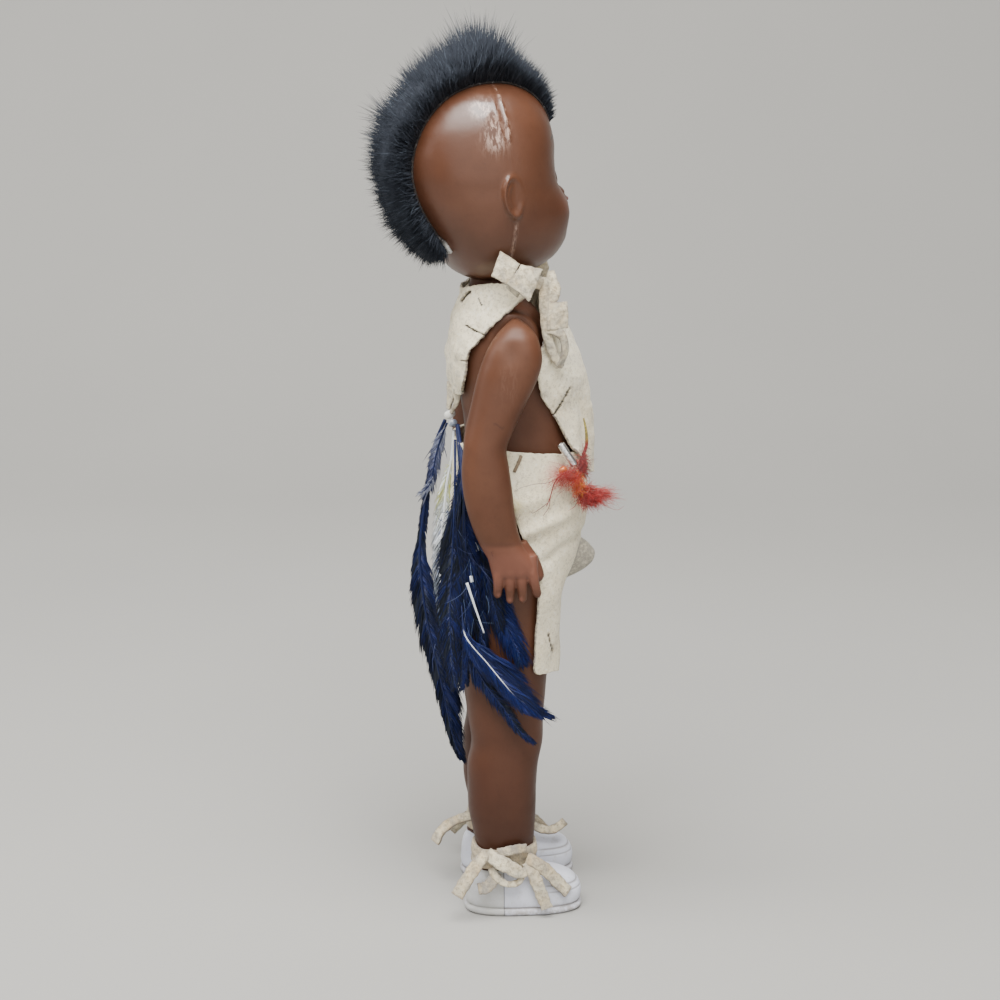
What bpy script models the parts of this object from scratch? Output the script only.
"""Strung plastic costume doll with a fur mohawk, suede garments, feathers and moulded shoes.

Metres, +Z up. The doll faces -Y, its right side is -X, and it stands on z = 0.
"""
from math import atan2, cos, exp, inf, pi, radians, sin

import bmesh
import bpy
from mathutils import Matrix, Vector
from mathutils.bvhtree import BVHTree

MM = 0.001

# Driving dimensions
GAP = 0.3 * MM
HEAD_AXIS_Y = 8.0 * MM
HEAD_TURN = radians(22.0)
HEAD_HEIGHT = 68.4 * MM
HEAD_SEAT = 236.6 * MM
HEAD_CENTRE = Vector((0.0, HEAD_AXIS_Y, HEAD_SEAT + 0.49 * HEAD_HEIGHT))
NECK_RADIUS = 8.2 * MM
NECK_Y = 5.0 * MM
FUR_HALF_WIDTH = 8.0 * MM
FUR_LIFT = 0.75 * MM
FUR_ROUNDING = 1.4 * MM
HEAD_POWER = 2.25
LEG_SPREAD = 15.5 * MM
HIP_LOW = Vector((3.0, 0.0, 115.0)) * MM
HIP_HIGH = Vector((25.0, 0.0, 147.0)) * MM
SHOULDER_FACE = 21.9 * MM
SUEDE = 1.2 * MM
THONG = 1.1 * MM
ANKLE_THONG_WIDTH = 4.4 * MM
TIE_WIDTH = 7.4 * MM
STAPLE_WIRE = 0.55 * MM
STAPLE_CROWN = 6.35 * MM
BEAD_RADIUS = 1.7 * MM
BEAD_HOLE = 0.85 * MM
BEAD_UPPER_Z = 188.0 * MM
BEAD_LOWER_Z = 183.8 * MM
BACK_BEAD_Y = 21.0 * MM
BACK_THONG_WIDTH = 0.8 * MM
LACING_WIDTH = 4.6 * MM
TUBE_RADIUS = 1.4 * MM
TUBE_BORE = 0.85 * MM
TUBE_LENGTH = 10.4 * MM
QUILL_RADIUS = 0.55 * MM
FEATHER_THICKNESS = 0.9 * MM
FINGER_WIDTH = 3.5 * MM
FINGER_GAP = 0.4 * MM

# Mesh fineness
RING_SIDES = 14
HEAD_SIDES = 24
HEAD_STEPS = 18
ARM_SIDES = 12
TORSO_SIDES = 20
SHEET_STEP = 6.9 * MM
FEATHER_STEPS = 14

# Colours, linear RGB with roughness
PLASTIC = ("brown_plastic", (0.27, 0.105, 0.06), 0.38)
SUEDE_SKIN = ("suede", (0.72, 0.66, 0.55), 0.9)
FUR = ("black_fur", (0.008, 0.010, 0.016), 0.85)
BLUE = ("blue_feather", (0.015, 0.045, 0.22), 0.6)
RED = ("red_fluff", (0.55, 0.02, 0.015), 0.9)
STEEL = ("staple_steel", (0.2, 0.17, 0.14), 0.4)
WHITE_BEAD = ("white_bead", (0.8, 0.8, 0.76), 0.25)
AMBER_BEAD = ("amber_bead", (0.6, 0.16, 0.02), 0.2)
QUILL = ("dyed_quill", (0.75, 0.62, 0.35), 0.35)


def material_for(spec):
    """Return the Principled material described by (name, colour, roughness)."""
    name, colour, roughness = spec
    found = bpy.data.materials.get(name)
    if found:
        return found
    made = bpy.data.materials.new(name)
    made.use_nodes = True
    shader = made.node_tree.nodes["Principled BSDF"]
    shader.inputs["Base Color"].default_value = (*colour, 1.0)
    shader.inputs["Roughness"].default_value = roughness
    shader.inputs["Metallic"].default_value = 1.0 if spec is STEEL else 0.0
    made.diffuse_color = (*colour, 1.0)
    return made


def smooth_at(keys, t):
    """Catmull-Rom value at t in 0..1 along evenly spaced keys of tuples."""
    spans = len(keys) - 1
    place = min(max(t, 0.0), 1.0) * spans
    i = min(int(place), spans - 1)
    f = place - i
    values = []
    for k in range(len(keys[0])):
        b = keys[i][k]
        c = keys[i + 1][k]
        a = keys[i - 1][k] if i > 0 else 2 * b - c
        d = keys[i + 2][k] if i + 2 <= spans else 2 * c - b
        values.append(
            b + 0.5 * f * (c - a + f * (2 * a - 5 * b + 4 * c - d + f * (3 * (b - c) + d - a)))
        )
    return tuple(values)


def level_at(table, z):
    """Straight interpolation of a table of rows (z, values...) that rises in z."""
    if z <= table[0][0]:
        return table[0][1:]
    for low, high in zip(table, table[1:]):
        if z <= high[0]:
            f = (z - low[0]) / (high[0] - low[0])
            return tuple(a + f * (b - a) for a, b in zip(low[1:], high[1:]))
    return table[-1][1:]


def bump(distance, width):
    """Bell curve of a distance."""
    return exp(-((distance / width) ** 2))


def add_object(name, bm, spec, smooth=True):
    """Put a bmesh into the doll's collection as a named object."""
    bmesh.ops.recalc_face_normals(bm, faces=bm.faces)
    mesh = bpy.data.meshes.new(name)
    bm.to_mesh(mesh)
    bm.free()
    obj = bpy.data.objects.new(name, mesh)
    doll_collection.objects.link(obj)
    mesh.materials.append(material_for(spec))
    if smooth:
        mesh.shade_smooth()
        mesh.set_sharp_from_angle(angle=radians(50.0))
    return obj


def loft(rings, low_tip=None, high_tip=None):
    """Closed bmesh through equal rings; a tip is a point that closes an end instead of a flat cap."""
    bm = bmesh.new()
    levels = [[bm.verts.new(p) for p in ring] for ring in rings]
    count = len(rings[0])
    for low, high in zip(levels, levels[1:]):
        for i in range(count):
            j = (i + 1) % count
            bm.faces.new((low[i], low[j], high[j], high[i]))
    for level, tip in ((levels[0], low_tip), (levels[-1], high_tip)):
        if tip is None:
            bm.faces.new(level)
        else:
            point = bm.verts.new(tip)
            for i in range(count):
                bm.faces.new((level[i], level[(i + 1) % count], point))
    return bm


def oval_ring(z, x_low, x_high, front, back, sides, power=2.4):
    """Horizontal superellipse ring that fills a rectangle, in metres."""
    cx = (x_low + x_high) / 2
    cy = (front + back) / 2
    rx = (x_high - x_low) / 2
    ry = (back - front) / 2
    ring = []
    for k in range(sides):
        a = 2 * pi * k / sides
        c = cos(a)
        s = sin(a)
        x = cx + rx * (abs(c) ** (2 / power)) * (1 if c > 0 else -1)
        y = cy + ry * (abs(s) ** (2 / power)) * (1 if s > 0 else -1)
        ring.append(Vector((x, y, z)))
    return ring


def mirrored(obj, name):
    """The finished shape of an object, mirrored to the doll's other side."""
    bpy.context.view_layer.update()
    graph = bpy.context.evaluated_depsgraph_get()
    mesh = bpy.data.meshes.new_from_object(obj.evaluated_get(graph))
    mesh.transform(Matrix.Scale(-1.0, 4, Vector((1.0, 0.0, 0.0))))
    mesh.flip_normals()
    twin = bpy.data.objects.new(name, mesh)
    doll_collection.objects.link(twin)
    return twin


# Head

# Share of the head's height, then front reach, back reach and half width in millimetres
HEAD_LEVELS = (
    (0.000, 10.0, 7.5, 9.8),
    (0.020, 15.0, 10.0, 13.0),
    (0.050, 20.0, 12.4, 16.0),
    (0.094, 24.4, 15.0, 19.2),
    (0.152, 27.0, 18.0, 21.8),
    (0.225, 28.0, 21.4, 23.6),
    (0.313, 27.6, 25.6, 24.6),
    (0.401, 26.2, 29.0, 25.0),
    (0.488, 24.2, 31.0, 25.0),
    (0.605, 23.2, 31.6, 24.6),
    (0.708, 22.8, 29.8, 23.5),
    (0.795, 21.6, 26.8, 21.6),
    (0.868, 19.0, 22.8, 18.6),
    (0.927, 15.0, 18.0, 14.6),
    (0.971, 9.6, 11.4, 9.0),
    (0.991, 4.6, 5.4, 4.4),
)

# Face relief: azimuth from the face's middle in degrees, share of height, width and rise in mm
FACE_RELIEF = (
    (30.0, 0.349, 7.5, 2.6),
    (17.0, 0.496, 4.6, -1.7),
    (0.0, 0.420, 2.4, 2.2),
    (0.0, 0.330, 3.8, 1.1),
    (0.0, 0.170, 5.0, 1.4),
    (20.0, 0.605, 6.0, 0.5),
)
EAR_LEVEL = 0.441


def head_reach(azimuth, level):
    """Reach of the head from its axis in metres; azimuth 0 is the face, level a share of its height."""
    front, back, half = level_at(HEAD_LEVELS, level)
    along = front if cos(azimuth) > 0 else back
    c = abs(cos(azimuth)) / along
    s = abs(sin(azimuth)) / half
    reach = (c ** HEAD_POWER + s ** HEAD_POWER) ** (-1 / HEAD_POWER)
    for angle, share, width, rise in FACE_RELIEF:
        for side in ((1, -1) if angle else (1,)):
            turn = (azimuth - side * radians(angle) + pi) % (2 * pi) - pi
            rise_off = (level - share) * HEAD_HEIGHT / MM
            off = ((turn * reach) ** 2 + rise_off ** 2) ** 0.5
            if abs(turn) < pi / 2:
                reach += rise * bump(off, width)
    return reach * MM


def head_point(azimuth, level):
    """Point on the head in the head's own frame, whose origin is HEAD_CENTRE."""
    reach = head_reach(azimuth, level)
    height = HEAD_SEAT + level * HEAD_HEIGHT - HEAD_CENTRE.z
    return Vector((-reach * sin(azimuth), -reach * cos(azimuth), height))


def place_on_head(point):
    """Turn a point of the head's own frame into the doll's frame."""
    return Matrix.Rotation(HEAD_TURN, 3, "Z") @ point + HEAD_CENTRE


def head_levels():
    """Levels of the head's rings, closer together towards the crown and the seat."""
    top = HEAD_LEVELS[-1][0]
    return [top * (0.5 - 0.5 * cos(pi * k / HEAD_STEPS)) for k in range(HEAD_STEPS + 1)]


def make_ear(side):
    """Ear as a flattened dome that sinks into the head."""
    bm = bmesh.new()
    bmesh.ops.create_uvsphere(bm, u_segments=10, v_segments=8, radius=1.0)
    centre = head_point(side * radians(92.0), EAR_LEVEL)
    scale = Matrix.Diagonal((2.2 * MM, 3.7 * MM, 7.9 * MM, 1.0))
    place = Matrix.Translation(HEAD_CENTRE) @ Matrix.Rotation(HEAD_TURN, 4, "Z")
    tilt = Matrix.Rotation(radians(-8.0), 4, "X")
    bm.transform(place @ Matrix.Translation(centre) @ tilt @ scale)
    return bm


def make_head():
    """Turned head with its face relief and ears, flat underneath where it seats on the neck."""
    rings = []
    for level in head_levels():
        rings.append([
            place_on_head(head_point(2 * pi * k / HEAD_SIDES, level)) for k in range(HEAD_SIDES)
        ])
    tip = place_on_head(Vector((0.0, 0.0, HEAD_SEAT + HEAD_HEIGHT - HEAD_CENTRE.z)))
    head = add_object("head", loft(rings, high_tip=tip), PLASTIC)
    for side, name in ((1, "ear_right_form"), (-1, "ear_left_form")):
        join(head, add_form(name, make_ear(side)))
    return head


def add_form(name, bm):
    """Keep a bmesh as a form that a Boolean uses, out of the model itself."""
    bmesh.ops.recalc_face_normals(bm, faces=bm.faces)
    mesh = bpy.data.meshes.new(name)
    bm.to_mesh(mesh)
    bm.free()
    obj = bpy.data.objects.new(name, mesh)
    obj.hide_render = True
    obj.display_type = "WIRE"
    cutter_collection.objects.link(obj)
    return obj


def boolean(obj, other, operation):
    """Add an exact Boolean."""
    modifier = obj.modifiers.new(operation.lower() + "_" + other.name, "BOOLEAN")
    modifier.operation = operation
    modifier.solver = "EXACT"
    modifier.object = other


def join(obj, form):
    """Fuse a form into an object."""
    boolean(obj, form, "UNION")


# Fur: angle over the head from the brow to the nape in degrees, length of the pile in mm
FUR_PILE = (
    (43.0, 5.7),
    (50.0, 7.8),
    (57.0, 9.1),
    (64.5, 10.3),
    (72.0, 12.2),
    (78.0, 14.7),
    (84.0, 16.9),
    (92.0, 20.4),
    (98.0, 17.4),
    (103.0, 15.6),
    (115.0, 14.6),
    (125.0, 15.2),
    (136.0, 14.0),
    (146.0, 14.5),
    (155.0, 15.4),
    (164.0, 14.2),
    (173.0, 13.2),
    (186.0, 12.4),
    (201.0, 12.6),
    (212.0, 12.6),
    (222.0, 11.4),
    (231.0, 9.5),
)


def surface_along(angle, x):
    """Distance at which a ray at this angle over the head, x to the side, leaves the head."""
    direction = Vector((0.0, -cos(angle), sin(angle)))
    low = 0.0
    high = 2.0 * HEAD_HEIGHT
    for _ in range(30):
        middle = (low + high) / 2
        p = Vector((x, 0.0, 0.0)) + direction * middle
        level = (p.z + HEAD_CENTRE.z - HEAD_SEAT) / HEAD_HEIGHT
        azimuth = atan2(-p.x, -p.y)
        if level <= HEAD_LEVELS[-1][0] and p.xy.length < head_reach(azimuth, level):
            low = middle
        else:
            high = middle
    return high


def make_fur():
    """Strip of long pile over the head from brow to nape."""
    across = (-1.0, -0.5, 0.0, 0.5, 1.0)
    rings = []
    for angle, pile_length in FUR_PILE:
        a = radians(angle)
        outer = surface_along(a, 0.0) + pile_length * MM
        direction = Vector((0.0, -cos(a), sin(a)))
        base = []
        tips = []
        for share in across:
            x = share * FUR_HALF_WIDTH
            sole = surface_along(a, x) + FUR_LIFT
            base.append(place_on_head(Vector((x, 0.0, 0.0)) + direction * sole))
            tip = outer - FUR_ROUNDING * share ** 4
            tips.append(place_on_head(Vector((0.92 * x, 0.0, 0.0)) + direction * tip))
        rings.append(base + tips[::-1])
    return add_object("mohawk_fur", loft(rings), FUR)


# Torso: z, half width, front, back in millimetres, from the crotch up to the neck
TORSO_LEVELS = (
    (113.0, 6.0, -5.0, 7.0),
    (115.0, 11.0, -9.0, 11.0),
    (120.0, 17.5, -12.5, 14.5),
    (128.0, 21.5, -15.5, 17.5),
    (140.0, 23.0, -18.5, 19.2),
    (152.0, 22.6, -21.0, 18.8),
    (165.0, 21.0, -22.8, 16.8),
    (175.0, 19.8, -23.2, 15.4),
    (185.0, 19.2, -22.8, 15.6),
    (195.0, 19.6, -21.8, 17.2),
    (205.0, 20.8, -19.6, 18.2),
    (214.0, 21.4, -16.2, 17.4),
    (220.0, 20.6, -13.0, 14.6),
    (224.5, 17.6, -10.0, 13.6),
    (228.0, 13.0, -7.0, 13.2),
    (231.0, 9.6, -4.6, 13.2),
)


def make_torso():
    """Torso with the neck that the head turns on and flat hip faces for the legs."""
    rings = []
    for z, half, front, back in TORSO_LEVELS:
        rings.append(oval_ring(z * MM, -half * MM, half * MM, front * MM, back * MM, TORSO_SIDES, 2.7))
    neck_top = HEAD_SEAT - GAP
    for z in (234.0 * MM, neck_top):
        rings.append(oval_ring(
            z, -NECK_RADIUS, NECK_RADIUS, NECK_Y - NECK_RADIUS, NECK_Y + NECK_RADIUS, TORSO_SIDES, 2.1,
        ))
    torso = add_object("torso", loft(rings), PLASTIC)
    boolean(torso, hip_cutter("hip_cut_right", -1, 0.0, -1), "DIFFERENCE")
    boolean(torso, hip_cutter("hip_cut_left", 1, 0.0, -1), "DIFFERENCE")
    return torso


def hip_cutter(name, side, offset, below):
    """Block whose one face is the sloping hip plane; below is -1 under it, 1 above it."""
    low = Vector((side * HIP_LOW.x, 0.0, HIP_LOW.z))
    high = Vector((side * HIP_HIGH.x, 0.0, HIP_HIGH.z))
    slope = (high - low).normalized()
    outward = Vector((side * slope.z, 0.0, -abs(slope.x)))
    size = 90.0 * MM
    bm = bmesh.new()
    bmesh.ops.create_cube(bm, size=size)
    frame = Matrix((outward.cross(slope), slope, outward)).transposed().to_4x4()
    centre = (low + high) / 2 - outward * below * size / 2 + outward * offset
    bm.transform(Matrix.Translation(centre) @ frame)
    return add_form(name, bm)


# Leg with its moulded shoe: z, inner x, outer x, front, back in millimetres
LEG_LEVELS = (
    (0.0, 6.6, 24.6, -25.6, 15.6),
    (0.5, 6.0, 25.2, -26.4, 16.4),
    (2.3, 5.9, 25.3, -26.7, 16.7),
    (3.0, 6.4, 24.8, -26.0, 16.2),
    (3.8, 6.2, 25.0, -26.3, 16.5),
    (8.5, 6.3, 24.9, -26.5, 16.5),
    (11.2, 6.8, 24.4, -25.0, 16.3),
    (13.3, 7.6, 23.8, -22.4, 15.9),
    (14.9, 8.6, 23.0, -18.2, 15.3),
    (15.9, 9.2, 22.5, -13.4, 14.7),
    (17.6, 9.6, 22.0, -9.6, 14.0),
    (20.0, 9.4, 22.0, -8.5, 13.0),
    (25.0, 8.4, 22.6, -8.6, 12.6),
    (31.0, 6.6, 23.8, -9.2, 13.6),
    (40.0, 5.0, 25.4, -9.6, 15.4),
    (50.0, 4.4, 26.0, -9.8, 15.7),
    (58.0, 4.6, 25.8, -10.4, 15.6),
    (67.0, 4.8, 25.4, -11.9, 14.2),
    (75.0, 4.2, 25.8, -11.8, 15.2),
    (85.0, 3.2, 26.2, -12.9, 16.2),
    (97.0, 2.2, 26.4, -13.8, 16.2),
    (110.0, 1.4, 26.4, -14.2, 16.6),
    (125.0, 1.0, 25.8, -14.8, 17.0),
    (138.0, 1.0, 24.4, -15.4, 17.2),
    (154.0, 1.0, 21.0, -15.2, 16.8),
)


def make_leg(side, name, cut_name):
    """Leg and painted shoe, moulded in one, with a flat sole and a flat hip face."""
    rings = []
    for z, inner, outer, front, back in LEG_LEVELS:
        shift = LEG_SPREAD - 15.5 * MM
        low = side * (inner * MM + shift)
        high = side * (outer * MM + shift)
        power = 2.25 if z > 18.0 else 2.7
        rings.append(oval_ring(
            z * MM, min(low, high), max(low, high), front * MM, back * MM, RING_SIDES, power,
        ))
    leg = add_object(name, loft(rings), PLASTIC)
    boolean(leg, hip_cutter(cut_name, side, GAP, 1), "DIFFERENCE")
    return leg


# Right arm: z, inner x, outer x, front, back in millimetres
ARM_LEVELS = (
    (132.5, 29.6, 35.4, -8.0, 7.4),
    (137.0, 28.8, 36.4, -7.6, 8.2),
    (141.0, 28.7, 37.0, -6.4, 9.0),
    (146.0, 28.8, 37.6, -3.6, 11.4),
    (150.0, 28.9, 38.2, -2.0, 13.2),
    (157.5, 28.7, 39.2, -0.4, 15.8),
    (168.0, 28.0, 39.8, 0.8, 17.9),
    (176.0, 27.0, 39.6, 1.9, 18.2),
    (181.0, 26.0, 39.2, 2.6, 17.9),
    (188.0, 24.6, 38.4, 0.0, 16.8),
    (197.0, 23.2, 37.4, -4.3, 14.6),
    (205.0, 22.2, 36.4, -8.2, 12.7),
    (211.0, 21.9, 35.8, -9.9, 10.8),
    (217.0, 21.9, 34.6, -9.2, 8.0),
    (221.0, 21.9, 32.4, -7.4, 5.0),
    (224.0, 21.9, 28.8, -4.2, 1.6),
    (225.2, 21.9, 25.6, -2.2, -0.2),
)


def make_arm(name):
    """Right arm moulded with its hand, flat where it meets the torso's shoulder."""
    side = -1
    rings = []
    for z, inner, outer, front, back in ARM_LEVELS:
        low = side * (inner * MM + SHOULDER_FACE - 21.9 * MM)
        high = side * (outer * MM + SHOULDER_FACE - 21.9 * MM)
        rings.append(oval_ring(
            z * MM, min(low, high), max(low, high), front * MM, back * MM, ARM_SIDES, 2.3,
        ))
    arm = add_object(name, loft(rings), PLASTIC)
    for k in range(4):
        join(arm, add_form(name + "_finger_" + str(k + 1), make_finger(side, k)))
    join(arm, add_form(name + "_thumb", make_thumb(side)))
    return arm


def tapered_tube(path, radii, sides=8):
    """Closed tube through points, with a radius pair (x, y) at each."""
    rings = []
    for point, (rx, ry) in zip(path, radii):
        rings.append([
            Vector(point) + Vector((rx * cos(2 * pi * k / sides), ry * sin(2 * pi * k / sides), 0.0))
            for k in range(sides)
        ])
    return loft(rings)


def make_finger(side, k):
    """One finger below the palm; k runs from the little finger forward."""
    y = 5.35 * MM - k * (FINGER_WIDTH + FINGER_GAP)
    lengths = (9.0, 10.4, 10.6, 9.6)
    x = side * 32.5 * MM
    top = 137.5 * MM
    root = 133.0 * MM
    tip = root - lengths[k] * MM
    half = FINGER_WIDTH / 2
    lean = -0.05 * k * MM
    path = (
        (x, y, top),
        (x, y, root),
        (x, y + lean, (root + tip) / 2),
        (x - side * 0.5 * MM, y + lean, tip + 1.2 * MM),
        (x - side * 0.7 * MM, y + lean, tip),
    )
    shares = ((1.0, 0.85), (1.15, 0.95), (1.1, 1.0), (0.9, 0.85), (0.45, 0.4))
    radii = [(half * a, half * b) for a, b in shares]
    return tapered_tube(path, radii)


def make_thumb(side):
    """Thumb on the palm's inner front side."""
    points = ((30.8, -3.6, 146.0), (30.1, -7.0, 141.0), (29.6, -8.8, 136.0), (29.8, -9.2, 132.5))
    radii = ((1.6, 1.6), (2.1, 2.2), (1.9, 2.0), (0.9, 1.0))
    path = [(side * x * MM, y * MM, z * MM) for x, y, z in points]
    return tapered_tube(path, [(a * MM, b * MM) for a, b in radii])


# Suede sheets. Each row runs from the middle of the body to the edge of the sheet, in millimetres.
VEST_BACK_ROWS = (
    (
        (0.0, 19.6, 194.6), (3.0, 19.4, 194.8), (6.0, 18.8, 195.2),
        (9.0, 17.9, 195.6), (12.0, 16.7, 196.2),
    ),
    (
        (0.0, 20.6, 203.0), (5.0, 20.5, 203.0), (9.6, 19.7, 202.8),
        (13.4, 18.2, 202.6), (16.6, 16.0, 202.4),
    ),
    (
        (0.0, 20.9, 212.0), (5.4, 20.7, 212.0), (10.6, 19.7, 212.0),
        (15.0, 17.6, 212.2), (18.8, 14.2, 212.6),
    ),
    (
        (0.0, 19.6, 221.6), (6.0, 19.0, 221.8), (12.0, 16.8, 222.2),
        (17.4, 12.0, 222.4), (21.6, 5.4, 223.0),
    ),
    (
        (0.0, 15.4, 233.6), (6.5, 14.0, 234.6), (11.0, 8.0, 235.8),
        (14.5, -1.5, 235.8), (22.5, -8.2, 229.6),
    ),
)
VEST_FRONT_ROWS = (
    (
        (0.0, -14.5, 229.5), (5.5, -14.5, 231.0), (9.5, -13.5, 234.0),
        (13.5, -12.0, 235.2), (20.5, -11.4, 230.4),
    ),
    (
        (0.0, -20.6, 219.0), (7.0, -20.2, 219.0), (13.0, -18.0, 219.0),
        (18.0, -14.8, 219.0), (21.2, -11.2, 219.0),
    ),
    (
        (0.0, -25.6, 207.5), (7.0, -25.0, 207.5), (13.5, -21.8, 207.5),
        (18.9, -16.0, 207.5), (22.2, -8.9, 208.5),
    ),
    (
        (0.0, -28.6, 197.5), (7.0, -27.6, 197.5), (13.0, -24.0, 197.5),
        (18.4, -17.6, 197.5), (21.8, -9.6, 198.4),
    ),
    (
        (0.0, -29.2, 187.5), (5.5, -28.4, 187.5), (10.5, -25.8, 187.8),
        (15.5, -21.2, 188.4), (19.6, -15.6, 189.0),
    ),
    (
        (0.0, -30.0, 176.5), (4.0, -29.8, 176.5), (8.5, -28.6, 176.6),
        (13.5, -26.0, 177.0), (18.8, -20.0, 177.8),
    ),
    (
        (0.0, -30.6, 166.5), (2.6, -30.5, 166.8), (5.4, -30.1, 167.2),
        (8.4, -29.4, 167.8), (11.6, -28.2, 168.4),
    ),
)
APRON_ROWS = (
    (
        (0.0, -26.6, 175.4), (8.0, -26.0, 175.4), (15.0, -22.8, 175.6),
        (20.8, -16.0, 176.4), (24.7, -6.5, 177.8), (25.4, 3.0, 179.0),
    ),
    (
        (0.0, -27.4, 167.0), (8.0, -26.9, 167.0), (16.0, -23.8, 167.0),
        (22.4, -16.0, 167.8), (26.0, -6.5, 168.8), (26.6, 1.8, 169.6),
    ),
    (
        (0.0, -28.4, 157.0), (8.0, -28.0, 157.0), (16.5, -24.6, 157.0),
        (23.0, -17.0, 157.6), (26.8, -7.5, 158.6), (27.4, 0.2, 159.6),
    ),
    (
        (0.0, -28.0, 145.0), (8.0, -27.8, 145.0), (16.0, -24.6, 145.0),
        (22.0, -18.6, 145.6), (25.4, -10.6, 146.4), (26.2, -3.4, 147.2),
    ),
    (
        (0.0, -25.0, 132.0), (7.5, -25.4, 132.4), (14.5, -23.2, 133.0),
        (20.2, -18.8, 134.4), (24.2, -13.6, 136.0), (26.2, -9.2, 138.0),
    ),
    (
        (0.0, -18.2, 117.0), (7.5, -19.0, 117.0), (14.5, -18.0, 117.0),
        (20.2, -15.6, 117.4), (24.6, -12.2, 118.0), (27.2, -9.0, 118.4),
    ),
    (
        (0.0, -17.2, 102.0), (7.5, -17.8, 102.0), (14.5, -17.2, 102.0),
        (20.0, -14.8, 101.8), (24.2, -11.4, 101.2), (26.8, -7.8, 100.4),
    ),
    (
        (0.0, -16.8, 89.0), (7.5, -17.4, 89.6), (14.5, -17.0, 90.6),
        (19.8, -15.0, 92.4), (23.8, -12.0, 94.0), (26.4, -8.6, 95.4),
    ),
)
BACK_FLAP_ROWS = (
    (
        (0.0, 18.6, 178.5), (7.5, 18.2, 178.5), (14.0, 16.0, 178.5),
        (19.0, 11.4, 178.6), (21.8, 4.0, 178.2), (22.2, -4.6, 176.6),
    ),
    (
        (0.0, 19.4, 168.0), (7.5, 19.0, 168.0), (14.5, 17.0, 168.0),
        (20.2, 12.0, 168.2), (23.2, 4.0, 168.4), (23.6, -3.8, 168.0),
    ),
    (
        (0.0, 20.6, 158.0), (7.5, 20.4, 158.0), (14.5, 18.8, 158.0),
        (20.4, 14.2, 158.2), (23.8, 6.6, 158.6), (24.4, -1.2, 159.0),
    ),
    (
        (0.0, 21.4, 145.0), (7.0, 21.4, 145.0), (13.0, 20.8, 145.0),
        (18.2, 18.8, 145.2), (21.8, 15.0, 145.6), (24.0, 10.0, 146.0),
    ),
    (
        (0.0, 20.8, 130.0), (6.5, 21.2, 130.0), (12.0, 21.0, 130.0),
        (16.6, 20.0, 130.2), (20.0, 18.2, 130.6), (22.6, 15.4, 131.0),
    ),
    (
        (0.0, 19.4, 112.0), (6.0, 20.2, 112.0), (11.5, 20.2, 112.0),
        (15.8, 19.4, 112.2), (19.0, 17.8, 112.6), (21.6, 15.6, 113.0),
    ),
    (
        (0.0, 18.6, 89.0), (5.5, 19.6, 89.2), (10.5, 19.4, 89.8),
        (14.8, 18.8, 91.0), (18.0, 17.4, 93.0), (20.8, 15.4, 95.0),
    ),
)


def sheet_points(rows, far_lift=None):
    """Grid of points in metres from half rows, mirrored to the other side."""
    length = sum(
        (Vector(a[0]) - Vector(b[0])).length for a, b in zip(rows, rows[1:])
    ) * MM
    down = max(6, round(length / SHEET_STEP))
    widest = max(
        sum((Vector(a) - Vector(b)).length for a, b in zip(row, row[1:])) for row in rows
    ) * MM
    half = max(4, round(widest / SHEET_STEP))
    grid = []
    for i in range(down + 1):
        v = i / down
        line = []
        for j in range(-half, half + 1):
            u = abs(j) / half
            keys = [smooth_at(row, u) for row in rows]
            x, y, z = smooth_at(keys, v)
            point = Vector((x, y, z)) * MM
            if j < 0:
                point.x = -point.x
            elif far_lift:
                point = far_lift(point, u, v)
            line.append(point)
        grid.append(line)
    return grid


def clear_of(point, bodies, stand_off):
    """Move a point out of the bodies until it stands off every one of them."""
    for _ in range(4):
        for tree, depth in bodies:
            near, normal, _, distance = tree.find_nearest(point)
            outside = (point - near).dot(normal) > -0.9 * distance
            if outside and distance < stand_off:
                away = (point - near) / distance if distance > 0.01 * MM else normal
                point = near + away * stand_off
            elif not outside and distance < depth:
                point = near + normal * stand_off
    return point


def add_sheet(name, grid, bodies, clearance=2.0 * GAP):
    """Suede sheet of even thickness, kept clear of the bodies it lies on."""
    bm = bmesh.new()
    levels = [[bm.verts.new(p) for p in line] for line in grid]
    for low, high in zip(levels, levels[1:]):
        for a, b, c, d in zip(low, low[1:], high[1:], high):
            bm.faces.new((a, b, c, d))
    stand_off = SUEDE / 2 + clearance
    for vert in bm.verts:
        vert.co = clear_of(vert.co, bodies, stand_off)
    sheet = add_object(name, bm, SUEDE_SKIN)
    shell = sheet.modifiers.new("thickness", "SOLIDIFY")
    shell.thickness = SUEDE
    shell.offset = 0.0
    return sheet


def curl_far_corner(point, u, v):
    """Swing the front flap's far edge forward where it curls."""
    lift = bump(v - 0.56, 0.12) * max(0.0, (u - 0.4) / 0.6) ** 1.5
    return point + Vector((-2.0, -24.0, 2.0)) * MM * lift


def body_tree(obj, depth=inf):
    """Search tree of an object's finished surface, with the depth from which it pushes a point out."""
    graph = bpy.context.evaluated_depsgraph_get()
    finished = obj.evaluated_get(graph)
    mesh = finished.to_mesh()
    points = [obj.matrix_world @ v.co for v in mesh.vertices]
    faces = [tuple(p.vertices) for p in mesh.polygons]
    finished.to_mesh_clear()
    return BVHTree.FromPolygons(points, faces), depth


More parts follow.
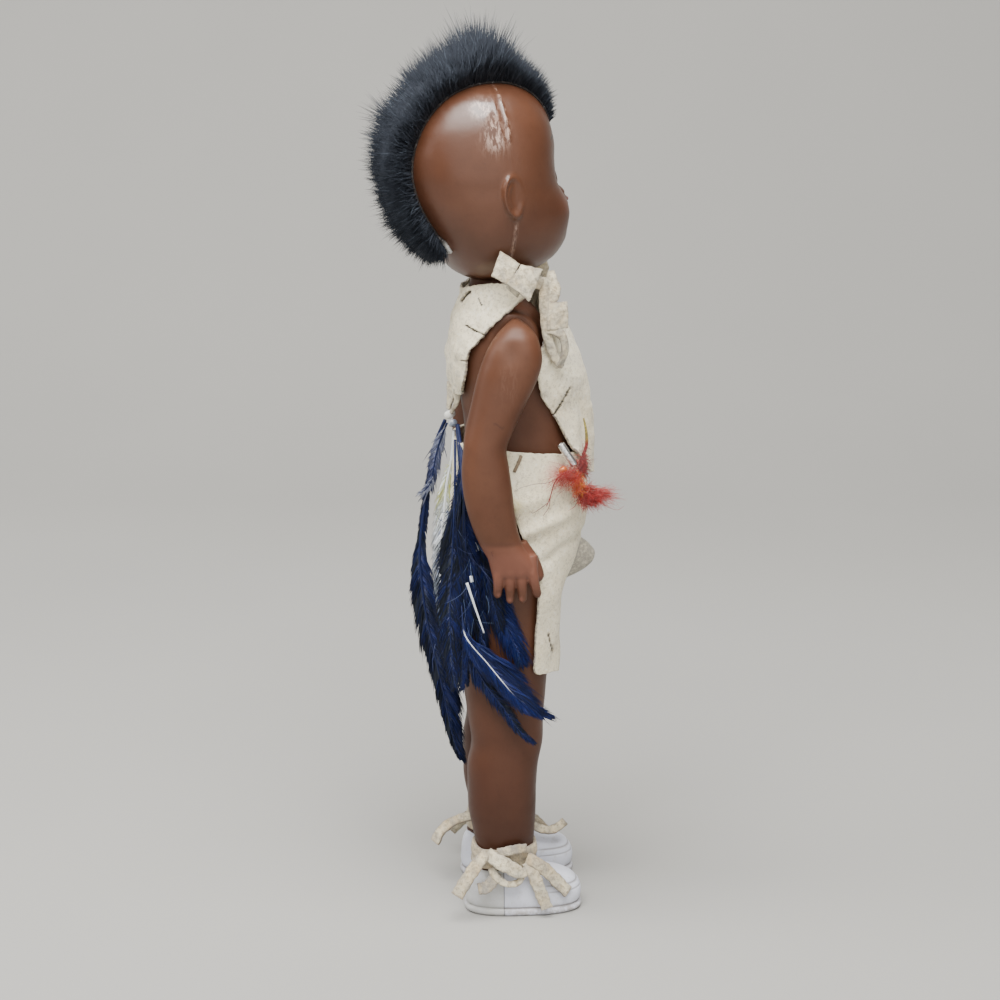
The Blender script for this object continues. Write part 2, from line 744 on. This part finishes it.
def add_strap(name, keys, width, thickness, bodies=(), steps=26):
    """Flat thong through keys (x, y, z, facing x, facing y, facing z) in millimetres."""
    rings = []
    for k in range(steps + 1):
        t = k / steps
        here = smooth_at(keys, t)
        ahead = smooth_at(keys, min(1.0, t + 0.01))
        behind = smooth_at(keys, max(0.0, t - 0.01))
        centre = clear_of(Vector(here[:3]) * MM, bodies, thickness / 2 + 2.0 * GAP)
        along = (Vector(ahead[:3]) - Vector(behind[:3])).normalized()
        facing = Vector(here[3:])
        facing = (facing - along * facing.dot(along)).normalized()
        side = along.cross(facing)
        across = side * width / 2
        up = facing * thickness / 2
        rings.append([
            centre + across + up, centre - across + up, centre - across - up, centre + across - up,
        ])
    return add_object(name, loft(rings), SUEDE_SKIN, smooth=False)


# Feathers: spine points in millimetres from quill to tip, widest half width, share where the vane starts
FEATHERS = (
    (
        "feather_back_long",
        (
            (5.0, 21.6, 177.0), (5.4, 25.1, 166.0), (5.6, 28.6, 151.0), (5.2, 29.6, 128.0),
            (4.4, 26.0, 98.0), (3.6, 21.8, 72.0), (3.0, 17.8, 51.6),
        ),
        7.4, 0.2,
    ),
    (
        "feather_back_curled",
        (
            (2.2, 22.4, 178.5), (2.4, 24.0, 171.0), (2.5, 25.6, 163.0), (2.5, 27.0, 156.0),
            (2.6, 29.0, 149.0),
        ),
        2.2, 0.15,
    ),
    (
        "feather_middle_outer",
        (
            (-1.4, 22.8, 178.0), (-3.2, 25.0, 166.0), (-4.4, 27.6, 150.0), (-5.0, 28.6, 132.0),
            (-5.4, 27.4, 112.0), (-5.6, 24.4, 91.0),
        ),
        5.8, 0.22,
    ),
    (
        "feather_middle_inner",
        (
            (-4.2, 22.6, 177.0), (-10.0, 24.6, 166.0), (-16.0, 25.0, 152.0), (-22.0, 23.6, 136.0),
            (-26.4, 20.0, 119.0), (-28.0, 16.0, 101.0),
        ),
        6.6, 0.22,
    ),
    (
        "feather_side_long",
        (
            (-8.6, 22.6, 177.0), (-20.0, 24.6, 160.0), (-29.0, 22.6, 140.0), (-32.4, 14.6, 118.0),
            (-33.0, 2.5, 96.0), (-32.0, -12.2, 77.6),
        ),
        7.0, 0.3,
    ),
    (
        "feather_side_short",
        (
            (-6.4, 22.6, 175.0), (-15.6, 24.8, 160.0), (-25.4, 22.8, 142.0), (-30.0, 15.0, 120.0),
            (-30.6, 5.0, 93.0), (-30.0, -6.8, 67.1),
        ),
        5.4, 0.34,
    ),
)


def add_feather(name, spine, half_width, vane_start, bodies):
    """Feather as a thin blade that tapers to a tip, below its bare quill, clear of what it lies on."""
    rings = []
    for k in range(FEATHER_STEPS + 1):
        t = k / FEATHER_STEPS
        centre = Vector(smooth_at(spine, t)) * MM
        ahead = Vector(smooth_at(spine, min(1.0, t + 0.02)))
        behind = Vector(smooth_at(spine, max(0.0, t - 0.02)))
        along = (ahead - behind).normalized()
        face = Vector((-1.0, 0.25, 0.0))
        face = (face - along * face.dot(along)).normalized()
        side = along.cross(face)
        share = max(0.0, (t - vane_start) / (1.0 - vane_start))
        reach = max(QUILL_RADIUS, half_width * MM * sin(pi * share ** 0.62))
        thick = QUILL_RADIUS + (FEATHER_THICKNESS / 2 - QUILL_RADIUS) * min(1.0, 4 * share)
        stand_off = thick + 1.5 * GAP
        left, middle, right = (
            clear_of(centre + side * reach * share_out, bodies, stand_off) for share_out in (-1, 0, 1)
        )
        rings.append([left, middle + face * thick, right, middle - face * thick])
    return add_object(name, loft(rings), BLUE)


def add_bead(name, centre, radius, hole, spec, axis=(0.0, 0.0, 1.0)):
    """Small round bead, bored through along its axis."""
    bm = bmesh.new()
    rings = []
    major = (radius + hole) / 2
    minor = (radius - hole) / 2
    turn = Vector((0.0, 0.0, 1.0)).rotation_difference(Vector(axis)).to_matrix().to_4x4()
    sides = 10
    loops = 5
    for i in range(sides):
        a = 2 * pi * i / sides
        ring = []
        for j in range(loops):
            b = 2 * pi * j / loops
            r = major + minor * cos(b)
            ring.append(bm.verts.new((r * cos(a), r * sin(a), minor * 1.25 * sin(b))))
        rings.append(ring)
    for i in range(sides):
        for j in range(loops):
            ni = (i + 1) % sides
            nj = (j + 1) % loops
            bm.faces.new((rings[i][j], rings[ni][j], rings[ni][nj], rings[i][nj]))
    bm.transform(Matrix.Translation(Vector(centre) * MM) @ turn)
    return add_object(name, bm, spec)


def add_wire(name, points, radius, spec, resolution):
    """Wire or tube through points in metres, as a curve with filled caps."""
    curve = bpy.data.curves.new(name, "CURVE")
    curve.dimensions = "3D"
    curve.bevel_depth = radius
    curve.bevel_resolution = resolution
    curve.use_fill_caps = True
    spline = curve.splines.new("POLY")
    spline.points.add(len(points) - 1)
    for slot, point in zip(spline.points, points):
        slot.co = (*point, 1.0)
    curve.materials.append(material_for(spec))
    obj = bpy.data.objects.new(name, curve)
    doll_collection.objects.link(obj)
    return obj


def ankle_keys(side, back_ends, front_ends):
    """Route of an ankle thong: from its back end, once round the ankle, to its front end."""
    (tail, tail_bend), (nose_bend, nose) = back_ends, front_ends
    route = (
        (tail, (1.0, 0.0, 0.2)),
        (tail_bend, (1.0, 0.0, 0.2)),
        ((27.2, 4.0, 20.4), (1.0, 0.0, 0.2)),
        ((24.4, -5.4, 23.0), (0.9, -0.5, 0.1)),
        ((15.5, -10.6, 23.6), (0.0, -1.0, 0.0)),
        ((6.6, -4.0, 24.2), (-1.0, -0.3, 0.0)),
        ((5.6, 7.0, 25.0), (-1.0, 0.4, 0.0)),
        ((14.0, 14.8, 25.6), (0.0, 1.0, 0.0)),
        ((24.6, 11.0, 26.4), (1.0, 0.7, 0.0)),
        ((28.2, 2.5, 25.8), (1.0, 0.0, 0.0)),
        ((28.2, -6.0, 21.2), (1.0, -0.4, 0.0)),
        (nose_bend, (0.9, -0.3, 0.2)),
        (nose, (0.8, -0.2, 0.4)),
    )
    shift = LEG_SPREAD / MM - 15.5
    return tuple(
        (side * (p[0] + shift), p[1], p[2], side * facing[0], facing[1], facing[2])
        for p, facing in route
    )


def add_staple(name, top, foot, bodies):
    """Wire staple whose crown lies on the suede."""
    stand_off = STAPLE_WIRE / 2 + GAP
    ends = [clear_of(p * MM, bodies, stand_off) for p in (top, foot)]
    middle = clear_of((ends[0] + ends[1]) / 2, bodies, stand_off)
    along = (ends[1] - ends[0]).normalized()
    half = STAPLE_CROWN / 2
    return add_wire(name, (middle - along * half, middle, middle + along * half), STAPLE_WIRE / 2, STEEL, 2)


def add_tube_bead(name, top, foot, bodies):
    """Straight metal tube bead, open at both ends, that lies on the suede."""
    stand_off = TUBE_RADIUS + 2.0 * GAP
    ends = [clear_of(p * MM, bodies, stand_off) for p in (top, foot)]
    middle = (ends[0] + ends[1]) / 2
    along = (ends[1] - ends[0]).normalized()
    turn = Vector((0.0, 0.0, 1.0)).rotation_difference(along).to_matrix().to_4x4()
    bm = bmesh.new()
    half = TUBE_LENGTH / 2
    loops = []
    angles = [2 * pi * k / RING_SIDES for k in range(RING_SIDES)]
    outline = ((TUBE_RADIUS, -half), (TUBE_RADIUS, half), (TUBE_BORE, half), (TUBE_BORE, -half))
    for radius, height in outline:
        loops.append([bm.verts.new((radius * cos(a), radius * sin(a), height)) for a in angles])
    for low, high in zip(loops, loops[1:] + loops[:1]):
        for k in range(RING_SIDES):
            n = (k + 1) % RING_SIDES
            bm.faces.new((low[k], low[n], high[n], high[k]))
    bm.transform(Matrix.Translation(middle) @ turn)
    return add_object(name, bm, STEEL)


# Straps: places and the way each faces, in millimetres
BACK_THONG = (
    (0.0, 20.6, 192.6, 0.0, 1.0, 0.0),
    (0.0, 21.0, 189.5, 0.0, 1.0, 0.0),
    (0.0, 21.0, 184.0, 0.0, 1.0, 0.0),
    (0.0, 21.2, 180.6, 0.0, 1.0, 0.0),
)
SHOULDER_TIE = (
    (-24.8, 6.0, 243.6, -1.0, 0.0, 0.2),
    (-23.8, -1.0, 240.0, -1.0, -0.1, 0.3),
    (-23.0, -9.0, 236.2, -1.0, -0.3, 0.3),
)
FRONT_LACING = (
    (-20.0, -14.6, 240.0, -0.8, -0.6, 0.0),
    (-20.4, -15.0, 229.5, -0.8, -0.6, 0.0),
    (-19.6, -18.2, 222.0, -0.8, -0.6, 0.0),
    (-20.6, -17.4, 214.0, -0.8, -0.6, 0.0),
    (-20.8, -17.6, 207.0, -0.8, -0.6, 0.0),
)
NEAR_TIE_ENDS = (
    ((29.4, 21.0, 11.4), (28.8, 13.0, 15.4)),
    ((27.0, -14.0, 15.6), (25.8, -21.6, 10.6)),
)
FAR_TIE_ENDS = (
    ((29.0, 26.6, 11.0), (28.8, 15.0, 17.4)),
    ((27.4, -14.0, 18.2), (25.4, -22.6, 17.2)),
)
STAPLE_TOP = Vector((-25.4, -3.6, 176.0))
STAPLE_FOOT = Vector((-26.2, -0.8, 170.6))
TUBE_TOP = Vector((-24.2, -15.5, 180.6))
TUBE_FOOT = Vector((-24.6, -21.7, 172.3))
QUILL_PATH = (
    Vector((-20.0, -26.6, 191.4)),
    Vector((-20.2, -26.9, 185.5)),
    Vector((-19.9, -27.2, 180.0)),
    Vector((-19.4, -26.2, 176.0)),
)
RED_BEAD = Vector((-24.0, -17.6, 171.1))
ORANGE_BEAD = Vector((-20.5, -24.2, 165.0))
FLUFF_CENTRE = Vector((-18.5, -29.5, 160.5))


def make_fluff(bodies):
    """Tuft of dyed down at the front of the waist."""
    bm = bmesh.new()
    bmesh.ops.create_uvsphere(bm, u_segments=12, v_segments=7, radius=1.0)
    turn = Matrix.Rotation(radians(-35.0), 3, "Z")
    for vert in bm.verts:
        p = vert.co
        wave = 1.0 + 0.16 * sin(7.0 * p.x + 3.0 * p.z) * cos(6.0 * p.z - 2.0 * p.y)
        p = turn @ Vector((p.x * 6.5 * wave, p.y * 2.6 * wave, p.z * 10.0 * wave))
        vert.co = (p + FLUFF_CENTRE) * MM
        vert.co = clear_of(vert.co, bodies, 2.0 * GAP)
    return add_object("waist_fluff", bm, RED)


def remove_start_objects():
    """Clear the scene that the script starts in."""
    for obj in list(bpy.data.objects):
        bpy.data.objects.remove(obj, do_unlink=True)


def new_collection(name):
    """Collection linked to the scene."""
    made = bpy.data.collections.new(name)
    bpy.context.scene.collection.children.link(made)
    return made


def stand_on_origin():
    """Shift the finished doll so that the middle of its box's underside is the origin."""
    graph = bpy.context.evaluated_depsgraph_get()
    low = Vector((1.0, 1.0, 1.0))
    high = Vector((-1.0, -1.0, -1.0))
    for obj in doll_collection.objects:
        finished = obj.evaluated_get(graph)
        mesh = finished.to_mesh()
        for vert in mesh.vertices:
            p = obj.matrix_world @ vert.co
            low = Vector(map(min, low, p))
            high = Vector(map(max, high, p))
        finished.to_mesh_clear()
    shift = Vector((-(low.x + high.x) / 2, -(low.y + high.y) / 2, -low.z))
    for obj in list(doll_collection.objects) + list(cutter_collection.objects):
        obj.location = obj.location + shift


remove_start_objects()
doll_collection = new_collection("costume_doll")
cutter_collection = new_collection("cutters")

head = make_head()
fur = make_fur()
torso = make_torso()
legs = [make_leg(-1, "leg_right", "hip_top_right"), make_leg(1, "leg_left", "hip_top_left")]
arm_right = make_arm("arm_right")
arms = [arm_right, mirrored(arm_right, "arm_left")]
bpy.context.view_layer.update()
torso_tree = body_tree(torso)
leg_trees = [body_tree(leg) for leg in legs]
arm_trees = [body_tree(arm) for arm in arms]
head_tree = body_tree(head)

back_flap = add_sheet("breechcloth_back", sheet_points(BACK_FLAP_ROWS), [torso_tree] + leg_trees)
bpy.context.view_layer.update()
flap_tree = body_tree(back_flap, SUEDE / 2)
apron = add_sheet(
    "breechcloth_front",
    sheet_points(APRON_ROWS, curl_far_corner),
    [torso_tree] + leg_trees + [flap_tree],
    4.0 * GAP,
)
bpy.context.view_layer.update()
apron_tree = body_tree(apron, SUEDE / 2)
vest_front = add_sheet(
    "vest_front",
    sheet_points(VEST_FRONT_ROWS),
    [torso_tree, apron_tree] + arm_trees,
    5.0 * GAP,
)
bpy.context.view_layer.update()
vest_front_tree = body_tree(vest_front, SUEDE / 2)
vest_back = add_sheet(
    "vest_back",
    sheet_points(VEST_BACK_ROWS),
    [torso_tree, head_tree, vest_front_tree] + arm_trees,
    4.0 * GAP,
)

bpy.context.view_layer.update()
vest_back_tree = body_tree(vest_back, SUEDE / 2)
cloth_trees = [flap_tree, apron_tree, vest_front_tree, vest_back_tree]
body_trees = [torso_tree, head_tree] + leg_trees + arm_trees

add_strap("back_thong", BACK_THONG, BACK_THONG_WIDTH, BACK_THONG_WIDTH, steps=6)
back_beads = (
    ("back_bead_upper", BEAD_UPPER_Z, BEAD_RADIUS),
    ("back_bead_lower", BEAD_LOWER_Z, 0.9 * BEAD_RADIUS),
)
for name, z, radius in back_beads:
    add_bead(name, (0.0, BACK_BEAD_Y / MM, z / MM), radius, BEAD_HOLE, WHITE_BEAD)

for name, spine, half_width, vane_start in FEATHERS:
    add_feather(name, spine, half_width, vane_start, cloth_trees + body_trees)

shoulder_right = add_strap(
    "shoulder_tie_right", SHOULDER_TIE, TIE_WIDTH, THONG, cloth_trees + body_trees, 10,
)
mirrored(shoulder_right, "shoulder_tie_left")
lacing = add_strap(
    "front_lacing_right", FRONT_LACING, LACING_WIDTH, THONG, cloth_trees + body_trees, 14,
)
mirrored(lacing, "front_lacing_left")
add_strap("ankle_tie_right", ankle_keys(-1, *NEAR_TIE_ENDS), ANKLE_THONG_WIDTH, THONG, leg_trees[:1], 26)
add_strap("ankle_tie_left", ankle_keys(1, *FAR_TIE_ENDS), ANKLE_THONG_WIDTH, THONG, leg_trees[1:], 26)
staple = add_staple("hip_staple_right", STAPLE_TOP, STAPLE_FOOT, [apron_tree])
mirrored(staple, "hip_staple_left")
add_tube_bead("waist_tube", TUBE_TOP, TUBE_FOOT, cloth_trees)
quill_path = [clear_of(p * MM, cloth_trees, QUILL_RADIUS + 2.0 * GAP) for p in QUILL_PATH]
add_wire("waist_quill", quill_path, QUILL_RADIUS, QUILL, 2)
for name, place in (("waist_bead_red", RED_BEAD), ("waist_bead_orange", ORANGE_BEAD)):
    centre = clear_of(place * MM, cloth_trees, BEAD_RADIUS + 2.0 * GAP)
    add_bead(name, centre / MM, BEAD_RADIUS, 0.6 * MM, AMBER_BEAD, (1.0, 0.2, 0.3))
make_fluff(cloth_trees + body_trees)
stand_on_origin()
